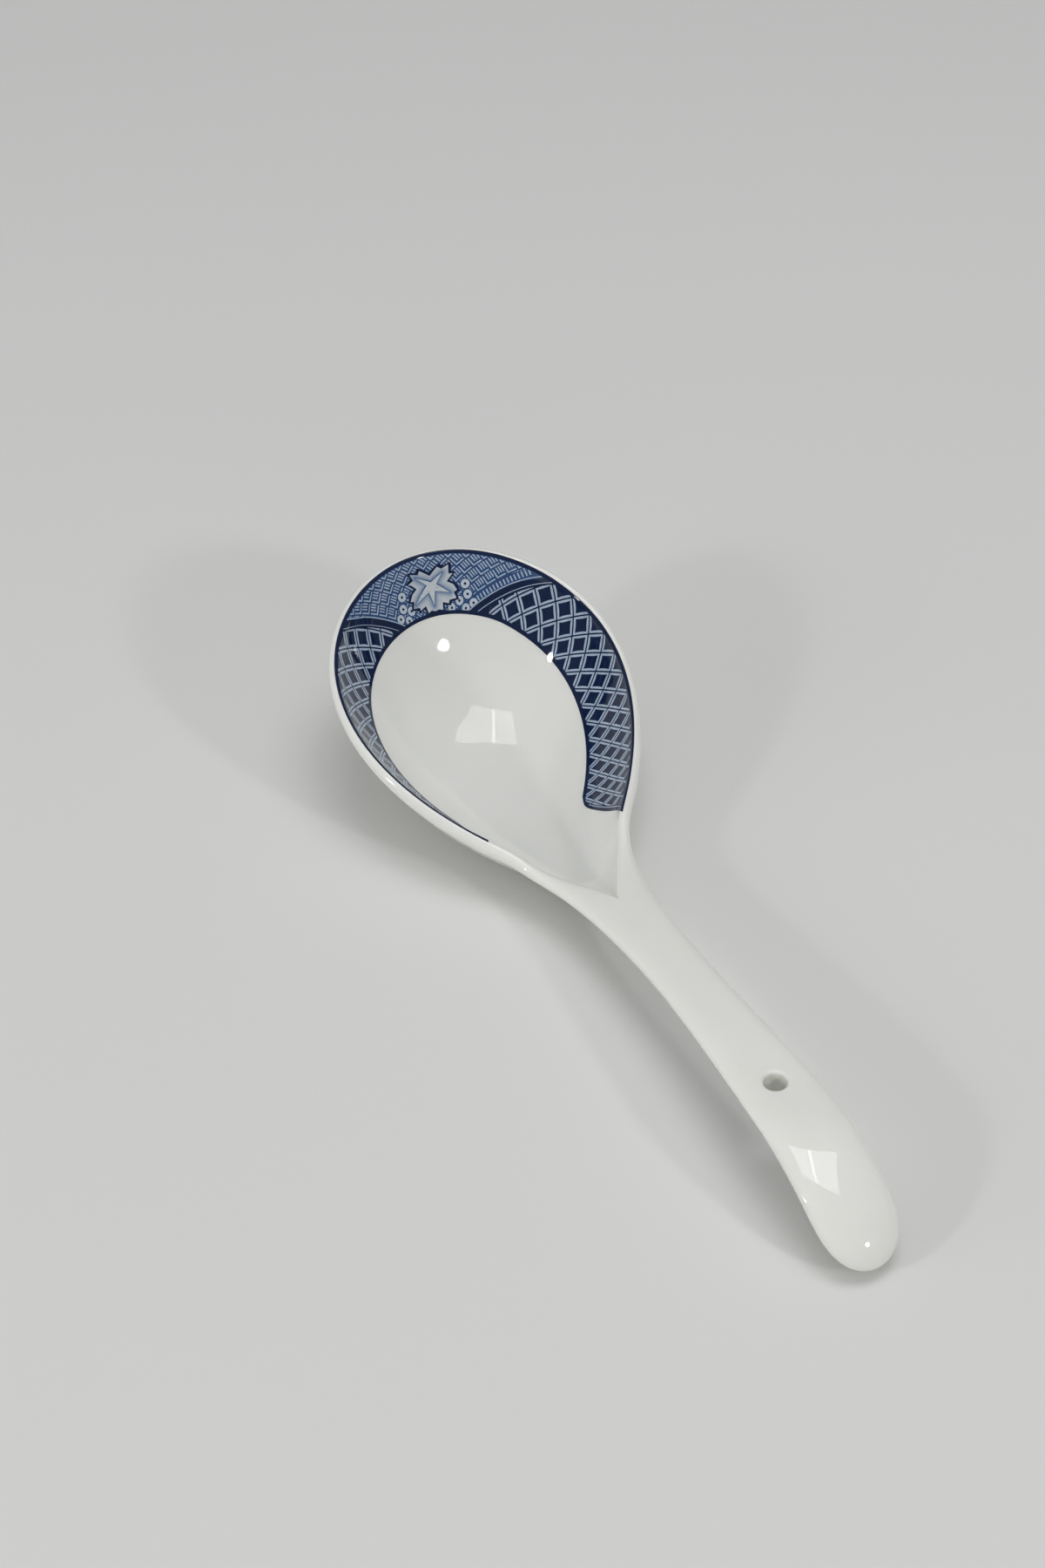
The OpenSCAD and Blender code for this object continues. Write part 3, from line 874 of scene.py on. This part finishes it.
class SPOON_OT_body(bpy.types.Operator):
    """Builds the china: bowl, neck and handle in one skin, with the hanging hole"""

    bl_idname = "spoon.body"
    bl_label = "China Body"

    def execute(self, context):
        form = SpoonForm(context.scene.spoon_sizes)
        form.laid.clear()
        top, low = form.bowl_sheets()
        bar = form.handle_sheet()
        n = 2 * CUT_STEPS
        # Cells of the handle round the hole are left out and bridged to its rounded edge
        stations = bar[:, n // 2, 0]
        ends = (form.hole_reach - HOLE_PATCH, form.hole_reach + HOLE_PATCH)
        k0, k1 = (int(np.argmin(np.abs(stations - x))) for x in ends)
        i0, i1 = n // 2 - HOLE_COLUMNS, n // 2 + HOLE_COLUMNS
        handle = sheet("handle_skin", bar)
        columns = bar.shape[1]
        edit(handle)
        bpy.ops.mesh.select_all(action="DESELECT")
        skin = bmesh.from_edit_mesh(handle.data)
        for face in skin.faces:
            at = [divmod(v.index, columns) for v in face.verts]
            k, i = min(a[0] for a in at), min(a[1] for a in at)
            over = i0 <= i < i1 or 2 * n - i1 <= i < 2 * n - i0
            face.select_set(k0 <= k < k1 and over)
        bmesh.update_edit_mesh(handle.data)
        bpy.ops.mesh.delete(type="FACE")
        done()
        hole = sheet("hole_skin", self.hole_rows(form, bar, n, k0, k1, i0, i1))
        body = closed("china_body", [sheet("bowl_inside", top), sheet("bowl_underside", low), handle, hole])
        bpy.ops.object.shade_smooth()
        finished(body, china_finish(context.scene.spoon_colours), "china", "bowl", "handle")
        return {"FINISHED"}

    def hole_rows(self, form, bar, n, k0, k1, i0, i1):
        """Rings from the handle's top, over the rounded edge, down the bore and out over the underside."""
        ring = (
            [(k0, i) for i in range(i0, i1)] + [(k, i1) for k in range(k0, k1)]
            + [(k1, i) for i in range(i1, i0, -1)] + [(k, i0) for k in range(k1, k0, -1)] + [(k0, i0)]
        )
        upper = np.array([bar[k, i] for k, i in ring])
        lower = np.array([bar[k, 2 * n - i] for k, i in ring])
        angle = np.arctan2(upper[:, 1], upper[:, 0] - form.hole_reach)
        r, soft = form.hole_width / 2, form.hole_round
        turn = np.linspace(0, np.pi / 2, HOLE_STEPS + 1)

        def circle(radius):
            return form.hole_reach + radius * np.cos(angle), radius * np.sin(angle)

        def half(rim, height, sign):
            cx, cy = circle(r + soft)
            rows = [rim]
            for t in np.linspace(0, 1, HOLE_STEPS + 1)[1:-1]:
                x, y = mix(rim[:, 0], cx, t), mix(rim[:, 1], cy, t)
                spare = (rim[:, 2] - height(rim[:, 0], rim[:, 1])) * (1 - t)
                rows.append(np.c_[x, y, height(x, y) + spare])
            for a in turn:
                x, y = circle(r + soft * (1 - np.sin(a)))
                rows.append(np.c_[x, y, height(cx, cy) - sign * soft * (1 - np.cos(a))])
            return rows

        above = half(upper, form.top_z, 1)
        below = half(lower, form.low_z, -1)[::-1]
        bore = [mix(above[-1], below[0], t) for t in np.linspace(0, 1, HOLE_STEPS + 1)[1:-1]]
        return np.array(above + bore + below)


class SPOON_OT_print_ground(bpy.types.Operator):
    """Lays the navy ground of the whole border, whose edges show as the outer and inner lines"""

    bl_idname = "spoon.print_ground"
    bl_label = "Navy Ground"

    def execute(self, context):
        # Rows lie closer where the ground bends over the rim
        w = shares(RIM_SHARE, RIM_ROWS, GROUND_ROWS)[:, None]
        end = END_EDGE(mix(END_TOP, END_LOW, w))
        u = mix(LEFT_END_BACK - end, end, np.linspace(0, 1, GROUND_COLUMNS)[None])
        ground = sheet("navy_ground", flat(u, mix(OUTER_EDGE(u), INNER_EDGE(u), w)))
        printed(context, ground, 0, "navy", "rim_line", "inner_line", "left_divider", "right_divider")
        return {"FINISHED"}


# The trellis, counted in diamonds from the right divider: u of each, v of its first row, and height of a row
TRELLIS_ALONG = through(
    [(-2, 21.2), (-1, 27.4), (0, 33.85), (2, 46.05), (5, 63.5), (8, 78.5), (10, 87.3), (12, 95.0), (14, 102.2)]
)
TRELLIS_FIRST = through(
    [(-2, 4.75), (0, 5.0), (2, 5.17), (5, 5.13), (6.5, 5.3), (8, 5.85), (10, 6.65), (12, 7.5), (14, 8.2)]
)
TRELLIS_ROW = through([(-2, 3.4), (0, 3.45), (5, 3.58), (8, 3.46), (10, 3.4), (12, 3.32), (14, 3.25)])
# The left trellis is the right one mirrored about half this u, and lies a little higher
MIRROR_U, LEFT_LIFT = 6.0, 0.45
DIAMONDS = 17
# A diamond before it is placed: its side and the width of its outline, with one unit from each to the next
DIAMOND_SIDE, DIAMOND_LINE, DIAMOND_CUTS = 0.915, 0.099, 6
# Bow of its inner sides, in thousandths: where the outline starts, how far in the bow is full, and how much
BOW_FROM, BOW_FULL, BOW = 457.5, 115.0, 28.0


class SPOON_OT_trellis(bpy.types.Operator):
    """Lays the pale outlines of the diamonds on both sides of the border"""

    bl_idname = "spoon.trellis"
    bl_label = "Trellis"

    def execute(self, context):
        for side in ("right", "left"):
            lines = self.diamonds(side + "_trellis_lines")
            points = points_of(lines) * MM
            n, m = (points[:, 0] + points[:, 1]) / 2, points[:, 1] - points[:, 0]
            u, v = TRELLIS_ALONG(n), TRELLIS_FIRST(n) + m * TRELLIS_ROW(n)
            if side == "left":
                u, v = MIRROR_U - u, v - LEFT_LIFT
            set_points(lines, flat(u, v))
            crop(lines, below=trellis_top, above=marks_low)
            if side == "left":
                crop(
                    lines, before=lambda t: LEFT_LINE(t) - LEFT_BAND,
                    after=lambda t: LEFT_END_BACK - END_EDGE(t) + END_BAND,
                )
            else:
                crop(lines, after=lambda t: RIGHT_LINE(t) + RIGHT_BAND, before=lambda t: END_EDGE(t) - END_BAND)
            printed(context, lines, 1, "pale", side + "_trellis")
        return {"FINISHED"}

    def diamonds(self, name):
        """Rows of square frames, one modelled and copied, with a unit from one to the next."""
        deselect()
        bpy.ops.mesh.primitive_plane_add(size=DIAMOND_SIDE)
        outlines = named(name)
        edit(outlines)
        bpy.ops.mesh.inset(thickness=DIAMOND_LINE)
        bpy.ops.mesh.delete(type="FACE")
        bpy.ops.mesh.select_all(action="SELECT")
        bpy.ops.mesh.subdivide(number_cuts=DIAMOND_CUTS)
        done()
        # The frame's inner sides bow in, so that the dark middle has drawn-out corners
        points = points_of(outlines)
        far, near = np.abs(points[:, :2]).max(1), np.abs(points[:, :2]).min(1)
        bow = clip((BOW_FROM - far) / BOW_FULL) * (1 - (near / far) ** 2) * BOW
        long_side = np.abs(points[:, :2]) > far[:, None] - 1e-3
        points[:, :2] *= np.where(long_side, (1 - bow / far)[:, None], 1.0)
        set_points(outlines, points)
        # One diamond of each other row, and all of them moved back to before the divider
        edit(outlines)
        for m, n in ((-1, 0.5), (1, 0.5), (2, 0.0), (3, 0.5)):
            bpy.ops.mesh.select_all(action="DESELECT")
            done()
            for face in outlines.data.polygons:
                face.select = max(abs(face.center.x), abs(face.center.y)) < 0.5
            bpy.ops.object.mode_set(mode="EDIT")
            bpy.ops.mesh.duplicate()
            bpy.ops.transform.translate(value=(n - m / 2, n + m / 2, 0))
        bpy.ops.mesh.select_all(action="SELECT")
        bpy.ops.transform.translate(value=(-2, -2, 0))
        done()
        row_of(outlines, DIAMONDS)
        return outlines


class SPOON_OT_lines(bpy.types.Operator):
    """Lays the pale lines along the dividers and the ends of the border"""

    bl_idname = "spoon.lines"
    bl_label = "Divider Lines"

    def execute(self, context):
        v, end = np.linspace(0.4, 15.6, 40), np.linspace(1.5, 15.2, 36)
        left, right, far = LEFT_LINE(v), RIGHT_LINE(v), END_EDGE(end)
        near = LEFT_END_BACK - far
        # Each line's v, and u of its two sides
        sides = (
            (v, left - 0.45, left), (v, left - 3.2, left - 2.98),
            (v, right, right + 0.45), (v, right + 3.0, right + 3.30),
            (end, far - 1.2, far - 0.95), (end, near + 0.95, near + 1.2),
        )
        strips = []
        for k, (down, a, b) in enumerate(sides):
            u = mix(a[None], b[None], np.linspace(0, 1, 3)[:, None])
            strips.append(sheet(f"divider_line_{k}", flat(u, down[None] + 0 * u)))
        lines = merged("divider_lines", strips)
        crop(lines, below=field_top, above=field_low)
        printed(context, lines, 2, "pale")
        return {"FINISHED"}


# The fret's cells run slantwise in two ways: place of the first, and a step along u and down v
FRET_FIRST, FRET_STEP = (-20.5, 4.2), (2.18, 1.95)
FRET_ROWS, FRET_COPIES, FRET_START = range(-2, 7), 18, -3
# One cell's strokes: from and to along the first way, from and to along the second
FRET_STROKES = (
    (0.13, 0.955, 0.045, 0.155),
    (0.845, 0.955, 0.155, 0.87),
    (0.09, 0.66, 0.348, 0.457),
    (0.09, 0.66, 0.573, 0.682),
    (0.09, 0.66, 0.798, 0.907),
)
# Strokes longer than this are cut finer
LONG_STROKE = 0.3
# The ticks beside the right divider: number, place of the first, step to the next, half length and half width
TICKS, TICK_FIRST, TICK_STEP = 16, np.array([28.04, 1.9, 0.0]), np.array([-0.741, 0.627, 0.0])
TICK_ACROSS, TICK_ALONG = np.array([0.49, 0.49, 0.0]), np.array([-0.14, 0.12, 0.0])


class SPOON_OT_fret(bpy.types.Operator):
    """Lays the blue panel at the far end, with its rows of pale angled strokes"""

    bl_idname = "spoon.fret"
    bl_label = "Fret Panel"

    def execute(self, context):
        w = np.linspace(0, 1, PANEL_ROWS)[:, None]
        deep = mix(PANEL_TOP, PANEL_LOW, w)
        u = mix(LEFT_LINE(deep), RIGHT_LINE(deep), np.linspace(0, 1, PANEL_COLUMNS)[None])
        panel = sheet("fret_ground", flat(u, mix(field_top(u), field_low(u), w)))
        printed(context, panel, 1, "blue", "fret_panel")

        marks = self.motif("fret_strokes")
        points = points_of(marks) * MM
        a, b = points[:, 0], points[:, 1]
        set_points(marks, flat(FRET_FIRST[0] + FRET_STEP[0] * (a + b), FRET_FIRST[1] + FRET_STEP[1] * (a - b)))
        crop(
            marks, below=lambda t: field_top(t) + FRET_TOP_GAP, above=marks_low,
            after=lambda t: LEFT_LINE(t) + FRET_SIDE_GAP, before=lambda t: RIGHT_LINE(t) - TICK_BAND,
        )
        printed(context, marks, 2, "pale")

        ticks = self.ladder("divider_ticks")
        crop(ticks, below=lambda t: field_top(t) + TICK_GAP)
        printed(context, ticks, 2, "pale")
        return {"FINISHED"}

    def ladder(self, name):
        """A row of short bars beside the right divider, square to it."""
        across = np.linspace(-1, 1, 7)[None, :, None] * TICK_ACROSS
        along = np.linspace(-1, 1, 3)[:, None, None] * TICK_ALONG
        return merged(
            name, [sheet(f"{name}_{k}", TICK_FIRST + TICK_STEP * k + across + along) for k in range(TICKS)]
        )

    def motif(self, name):
        """One cell's strokes, copied down a column and then along the border."""
        pieces = []
        for row in FRET_ROWS:
            p = (row + row % 2) // 2 + FRET_START
            q = p - row
            for k, (p0, p1, q0, q1) in enumerate(FRET_STROKES):
                s = np.linspace(p0, p1, 7 if p1 - p0 > LONG_STROKE else 3)[None] + p
                t = np.linspace(q0, q1, 7 if q1 - q0 > LONG_STROKE else 3)[:, None] + q
                pieces.append(sheet(f"{name}_{row}_{k}", flat(s + 0 * t, t + 0 * s) / MM))
        marks = merged(name, pieces)
        row_of(marks, FRET_COPIES)
        return marks


# The flower's middle, its outline and its star's, and the middles of the rings, each as (u, v)
FLOWER_MIDDLE = (2.6, 9.2)
PETAL_EDGE = (
    (2.63, 5.55), (5, 3.75), (6.13, 4.4), (8, 3.55), (8.1, 5.75), (9.25, 5.75), (7.6, 7.6), (9.5, 8.4),
    (10.63, 9.75), (9.63, 10.3), (10.5, 11.75), (8.25, 12.15), (8, 12.95), (5.88, 12.55), (5.75, 14.38),
    (4.25, 14.13), (2.75, 14.38), (1.38, 14), (0, 14.38), (-0.5, 12.55), (-2.63, 13.2), (-2.75, 12.4),
    (-4.88, 12.05), (-4, 10.5), (-5.13, 10.2), (-3.88, 8.8), (-2.13, 7.85), (-3.3, 6.55), (-4.15, 6.15),
    (-2.45, 5.6), (-2.95, 4.0), (-0.75, 4.65), (-0.13, 3.8),
)
STAR_EDGE = (
    (-1.6, 5.35), (2.7, 7.3), (6.1, 5.5), (4.25, 8.0), (8.25, 10.3), (3.6, 9.5), (2.75, 12.85), (1.6, 9.5),
    (-3.5, 11.35), (1.35, 7.8),
)
RINGS = (
    (-6.9, 8.2), (-8.0, 10.85), (-10.2, 12.6), (-7.7, 14.0), (-5.65, 12.2),
    (12.6, 8.3), (13.6, 10.7), (11.25, 12.3), (13.5, 14.0), (15.75, 12.6), (8.75, 13.9),
)
# Each part of the rings: radius, coat and ink; and how a dot is stretched along u and v
RING_PARTS = (("ring_grounds", 1.55, 3, "blue"), ("ring_discs", 1.2, 4, "ring"), ("ring_dots", 0.36, 5, "navy"))
RING_SIDES, RING_STRETCH = 28, (1.04, 0.92, 1.0)
# How far the flower's dark line stands out, how far its petals draw in, and how far the star's line stands out
FLOWER_LINE, FLOWER_INSET, STAR_LINE = 0.66, 0.25, 0.30
# Sizes of the cells that flat shapes are cut into
WIDE_PITCH, FINE_PITCH = 0.45, 0.3
# The shading round the star: a step along u as a share of one down v, its strength, reach and power
U_SHARE, SHADE, SHADE_REACH, SHADE_POWER, FAR_OFF = 0.76, 0.97, 0.88, 1.4, 9.0


def outline(name, edge, pitch):
    """A flat shape with the given outline, cut fine enough to follow the bowl."""
    deselect()
    bpy.ops.mesh.primitive_circle_add(vertices=len(edge), radius=1.0, fill_type="NGON")
    piece = named(name)
    set_points(piece, flat(*np.array(edge).T))
    refine(piece, pitch)
    return piece


def grown(edge, by):
    """An outline pushed out from the flower's middle by a distance."""
    e = np.array(edge) - FLOWER_MIDDLE
    far = np.linalg.norm(e, axis=1, keepdims=True)
    return [tuple(p) for p in e * (far + by) / far + FLOWER_MIDDLE]


class SPOON_OT_flower(bpy.types.Operator):
    """Lays the pale flower with its star, and the small ringed dots beside it"""

    bl_idname = "spoon.flower"
    bl_label = "Flower and Rings"

    def execute(self, context):
        for name, radius, coat, key in RING_PARTS:
            rings = self.dots(name, radius)
            self.inside(rings)
            printed(context, rings, coat, key)

        edge = outline("flower_edge", grown(PETAL_EDGE, FLOWER_LINE), WIDE_PITCH)
        self.inside(edge)
        printed(context, edge, 6, "navy")
        petals = outline("flower_petals", grown(PETAL_EDGE, -FLOWER_INSET), FINE_PITCH)
        self.inside(petals)
        self.shade(petals)
        printed(context, petals, 7, "petal", "flower")
        printed(context, outline("star_line", grown(STAR_EDGE, STAR_LINE), WIDE_PITCH), 8, "blue")
        printed(context, outline("star", STAR_EDGE, WIDE_PITCH), 9, "petal")
        return {"FINISHED"}

    def shade(self, petals):
        """Writes how near each point of the petals is to the star, for the blue shading round it."""
        points = points_of(petals)[:, :2] * (U_SHARE, 1.0)
        star = np.array(STAR_EDGE) * (U_SHARE, 1.0)
        near = np.full(len(points), FAR_OFF)
        for a, b in zip(star, np.roll(star, -1, 0)):
            t = clip(((points - a) @ (b - a)) / ((b - a) @ (b - a)))[:, None]
            near = np.minimum(near, np.linalg.norm(points - mix(a, b, t), axis=1))
        values = petals.data.attributes.new("star_shade", "FLOAT", "POINT")
        values.data.foreach_set("value", SHADE * np.exp(-((near / SHADE_REACH) ** SHADE_POWER)))

    def inside(self, piece):
        crop(piece, above=field_low, after=LEFT_LINE, before=RIGHT_LINE)

    def dots(self, name, radius):
        """One round dot, copied to each ring's place."""
        deselect()
        bpy.ops.mesh.primitive_circle_add(vertices=RING_SIDES, radius=radius * MM, fill_type="TRIFAN")
        first = named(name)
        edit(first)
        bpy.ops.mesh.subdivide(number_cuts=2)
        done()
        copies = []
        for u, v in RINGS:
            take(first)
            bpy.ops.object.duplicate(linked=False)
            copy = bpy.context.object
            set_points(copy, points_of(copy) * RING_STRETCH + (u, v, 0.0))
            copies.append(copy)
        bpy.data.objects.remove(first)
        return merged(name, copies)


# Stage


# Place that the lamps face, and the way along the photo's width that their first sides follow
LAMP_AIM, PHOTO_WIDTH = Vector((0.03, 0.0, 0.01)), Vector((0.4616, 0.8871, 0.0))
OVERHEAD, RIGHT, LEFT = (0.077, 0.095, 1.0), (0.81, 0.314, 0.496), (0.109, -0.882, 0.458)
# Lamps: way, distance, size along the photo's width and across it (round where there is none), power, and whether
# the glaze mirrors it
LAMPS = (
    ("ceiling", (0.0, 0.0, 1.0), 2.4, 4.0, 4.0, 12.5, False),
    ("overhead", OVERHEAD, 1.3, 0.84, 0.62, 4.4, True),
    ("overhead_tube", OVERHEAD, 1.29, 0.05, 0.60, 0.40, True),
    ("left_fill", (0.0, -1.0, 0.3), 1.5, 1.0, 0.5, 3.9, False),
    ("front_fill", (0.9, -0.3, 0.2), 1.5, 1.0, 0.5, 1.0, False),
    ("right_lamp", RIGHT, 1.5, 0.19, None, 1.5, False),
    ("right_lamp_bulb", RIGHT, 1.49, 0.10, None, 1.7, True),
    ("left_lamp", LEFT, 1.5, 0.19, None, 0.8, False),
    ("left_lamp_bulb", LEFT, 1.49, 0.10, None, 1.7, True),
)
# Strength of the room's light at the level of the table and overhead, and its colour
ROOM_LOW, ROOM_HIGH, ROOM_COLOUR = 0.17, 0.30, (0.965, 0.98, 1.0, 1.0)
# The camera: focal length for a 36 mm high frame, place, and the way from the spoon back to it
LENS, FRAME_HEIGHT = 84.0, 36.0
EYE, BACK = (0.536684, -0.282348, 0.552969), (0.665, -0.346, 0.662)


def placed(data, place, right, back):
    """A lamp or camera at a place, which looks away from its back."""
    thing = bpy.data.objects.new(data.name, data)
    bpy.context.scene.collection.objects.link(thing)
    turn = Matrix((right, back.cross(right), back)).transposed().to_4x4()
    thing.matrix_world = Matrix.Translation(place) @ turn
    return thing


def soft_light(name, towards, far, size, across, power, mirrored):
    """A lamp that hangs in the given direction and faces the spoon."""
    way = Vector(towards).normalized()
    data = bpy.data.lights.new(name, "AREA")
    data.shape = "RECTANGLE" if across else "DISK"
    data.size = size
    if across:
        data.size_y = across
    data.energy = power
    side = (PHOTO_WIDTH - PHOTO_WIDTH.dot(way) * way).normalized()
    lamp = placed(data, LAMP_AIM + way * far, side, way)
    lamp.visible_glossy = mirrored


class SPOON_OT_stage(bpy.types.Operator):
    """Sets up the pale floor, the soft studio lights and the camera"""

    bl_idname = "spoon.stage"
    bl_label = "Stage"

    def execute(self, context):
        scene = context.scene
        self.floor(scene)
        self.lights(scene)
        self.camera(scene)
        scene.view_settings.view_transform = "Standard"
        scene.view_settings.look = "None"
        return {"FINISHED"}

    def floor(self, scene):
        deselect()
        bpy.ops.mesh.primitive_grid_add(x_subdivisions=8, y_subdivisions=8, size=6.0)
        floor = named("studio_floor")
        material, tree, shader = new_material("Pale floor")
        shader["Roughness"].default_value = 0.75
        shader["Specular IOR Level"].default_value = 0.2
        c = np.array(scene.spoon_colours.floor)
        noise, drift = new_node(tree, "TexNoise", Scale=6.0, Detail=3.0), tone_mix(tree, A=c, B=c * 0.985)
        wire(
            tree,
            (new_node(tree, "TexCoord").outputs["Object"], noise.inputs["Vector"]),
            (noise.outputs["Fac"], drift.inputs["Factor"]),
            (drift.outputs["Result"], shader["Base Color"]),
        )
        floor.data.materials.append(material)
        deselect()

    def lights(self, scene):
        world = bpy.data.worlds.new("Studio")
        world.use_nodes = True
        tree = world.node_tree
        sky = tree.nodes["Background"].inputs
        sky["Color"].default_value = ROOM_COLOUR
        # The room is dimmer at the level of the table than overhead
        split = new_node(tree, "SeparateXYZ")
        height = new_node(tree, "Math")
        height.operation = "POWER"
        height.use_clamp = True
        height.inputs[1].default_value = 2.0
        glow = new_node(tree, "MapRange", To_Min=ROOM_LOW, To_Max=ROOM_HIGH)
        wire(
            tree,
            (new_node(tree, "TexCoord").outputs["Generated"], split.inputs["Vector"]),
            (split.outputs["Z"], height.inputs[0]),
            (height.outputs[0], glow.inputs["Value"]),
            (glow.outputs["Result"], sky["Strength"]),
        )
        scene.world = world
        for lamp in LAMPS:
            soft_light(*lamp)

    def camera(self, scene):
        data = bpy.data.cameras.new("photo_view")
        data.lens = LENS
        data.sensor_fit = "VERTICAL"
        data.sensor_height = FRAME_HEIGHT
        data.clip_end = 50.0
        back = Vector(BACK).normalized()
        scene.camera = placed(data, EYE, Vector((0, 0, 1)).cross(back).normalized(), back)


OPERATORS = (
    SPOON_OT_body, SPOON_OT_print_ground, SPOON_OT_trellis, SPOON_OT_lines, SPOON_OT_fret, SPOON_OT_flower,
    SPOON_OT_stage,
)


class SPOON_PT_panel(bpy.types.Panel):
    """Sidebar panel with the spoon's pieces, sizes and colours"""

    bl_idname = "SPOON_PT_panel"
    bl_label = "Soup Spoon"
    bl_space_type = "VIEW_3D"
    bl_region_type = "UI"
    bl_category = "Spoon"

    def draw(self, context):
        column = self.layout.column()
        for operator in OPERATORS:
            column.operator(operator.bl_idname)
        for group in (context.scene.spoon_sizes, context.scene.spoon_colours):
            for name in group.__annotations__:
                column.prop(group, name)


CLASSES = (SpoonSizes, SpoonColours, *OPERATORS, SPOON_PT_panel)


def register():
    for cls in CLASSES:
        bpy.utils.register_class(cls)
    bpy.types.Scene.spoon_sizes = bpy.props.PointerProperty(type=SpoonSizes)
    bpy.types.Scene.spoon_colours = bpy.props.PointerProperty(type=SpoonColours)


def unregister():
    del bpy.types.Scene.spoon_colours
    del bpy.types.Scene.spoon_sizes
    for cls in reversed(CLASSES):
        bpy.utils.unregister_class(cls)


def main():
    register()
    bpy.ops.spoon.body()
    bpy.ops.spoon.print_ground()
    bpy.ops.spoon.trellis()
    bpy.ops.spoon.lines()
    bpy.ops.spoon.fret()
    bpy.ops.spoon.flower()
    bpy.ops.spoon.stage()


if __name__ == "__main__":
    main()
